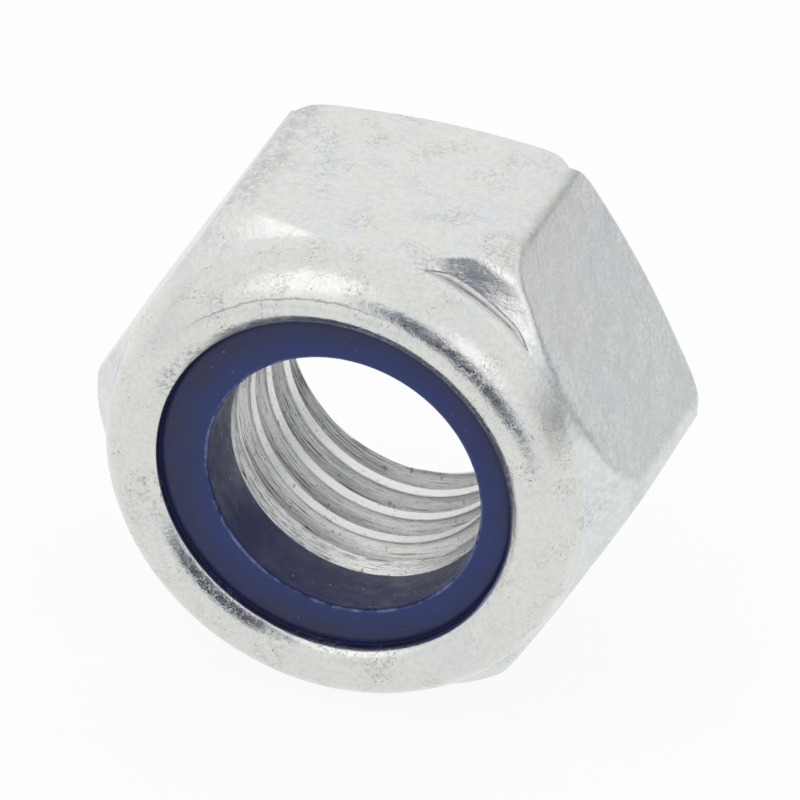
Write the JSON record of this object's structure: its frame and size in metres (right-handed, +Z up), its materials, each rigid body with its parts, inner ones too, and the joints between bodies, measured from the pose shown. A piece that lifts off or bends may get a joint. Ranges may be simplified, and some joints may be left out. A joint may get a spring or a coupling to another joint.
{
  "type": "nylon insert lock nut",
  "caption": "Hexagon lock nut with a crimped collar that holds a blue nylon ring, which grips the bolt so that the nut can't shake loose.",
  "frame": {"origin": "centre of the bearing face, on the thread axis", "axes": "+Y is the bearing face's outward normal along the thread axis, the insert end points to -Y, +Z is up with the nut lying on a flat, and +X points to a hexagon corner"},
  "size_m": [0.0216, 0.0119, 0.019],
  "materials": {
    "zinc_steel": "bright zinc plating, satin",
    "blue_nylon": "moulded, semi-matt"
  },
  "bodies": {
    "root": {"nut_body": "zinc_steel", "nylon_ring": "blue_nylon"}
  },
  "joints": []
}
